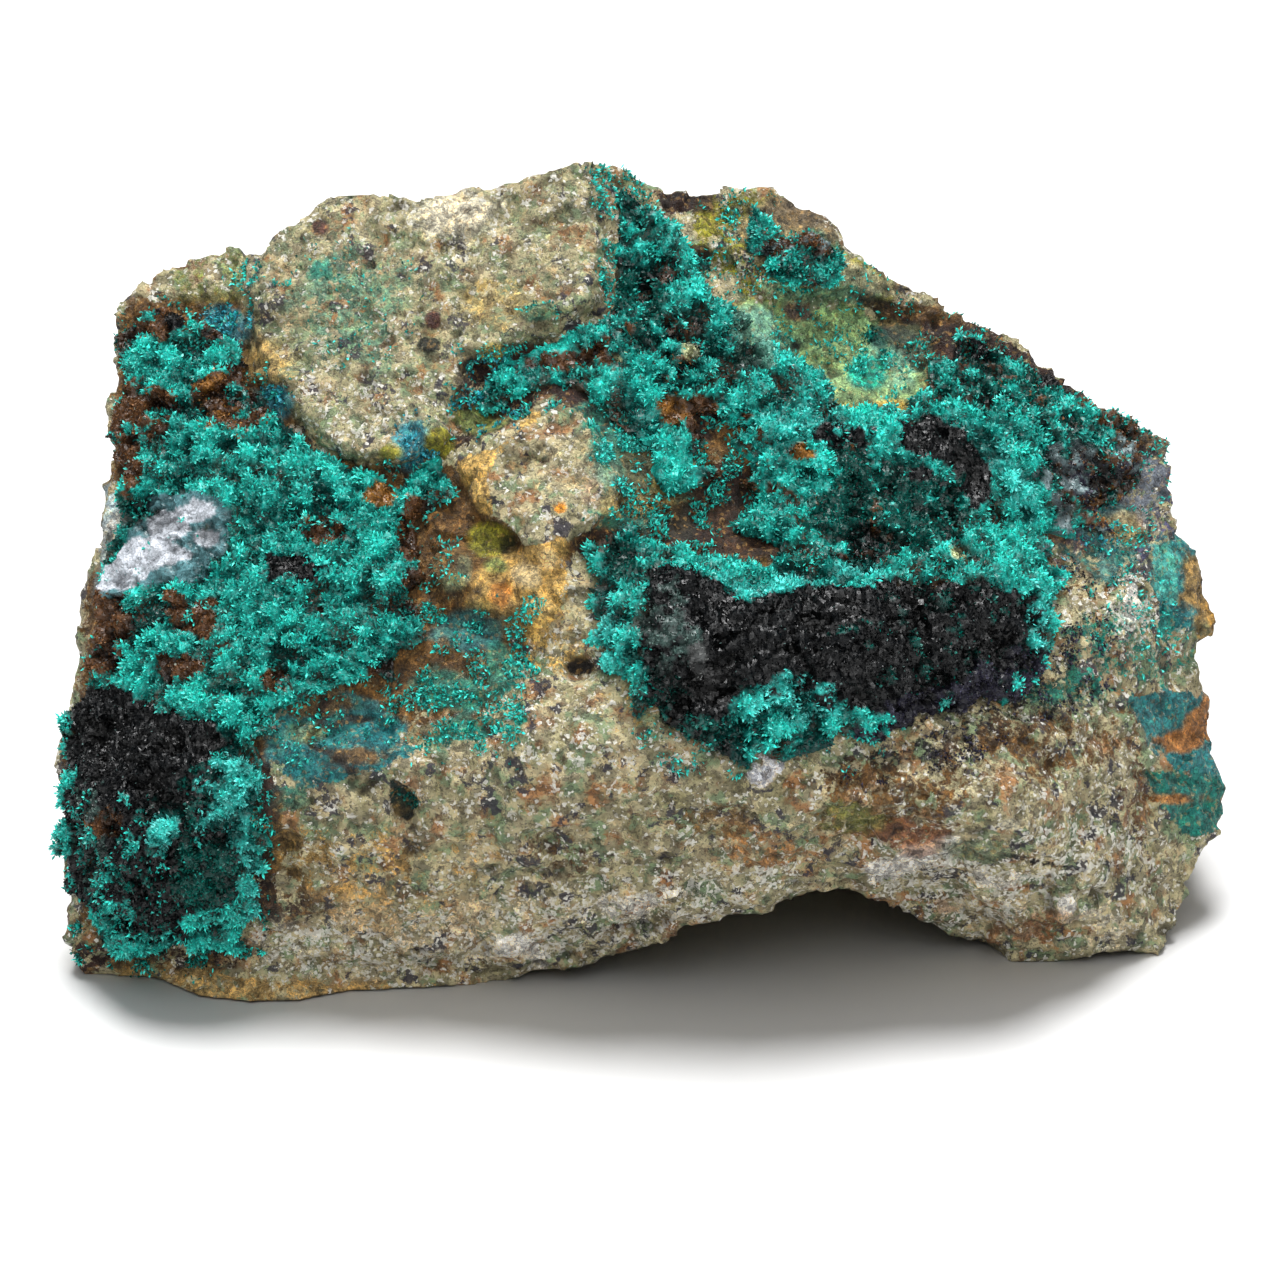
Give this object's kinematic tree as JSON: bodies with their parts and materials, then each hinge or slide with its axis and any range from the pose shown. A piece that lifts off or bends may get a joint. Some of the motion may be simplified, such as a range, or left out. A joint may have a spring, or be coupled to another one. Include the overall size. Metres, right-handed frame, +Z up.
{
  "type": "dioptase mineral specimen",
  "caption": "Rough block of granular host rock, overhanging at the front and arched beneath, with lumpy crusts of fine dioptase crystals on its display side.",
  "frame": {"origin": "middle of the footprint of the whole specimen, on the surface it stands on", "axes": "+X along the longest side, to the right as the display side is seen; +Z up; the display side faces -Y and up"},
  "size_m": [0.1132, 0.06, 0.0659],
  "materials": {
    "host_rock": "rough granular break, matt, with dark grains and rusty and blue-green stains",
    "dioptase": "fine emerald-green to teal crystals, black where they are densest, with small glints"
  },
  "bodies": {
    "root": {"matrix": "host_rock", "dioptase_crust_left": "dioptase", "dioptase_crust_right": "dioptase", "dioptase_crust_summit": "dioptase"}
  },
  "joints": []
}
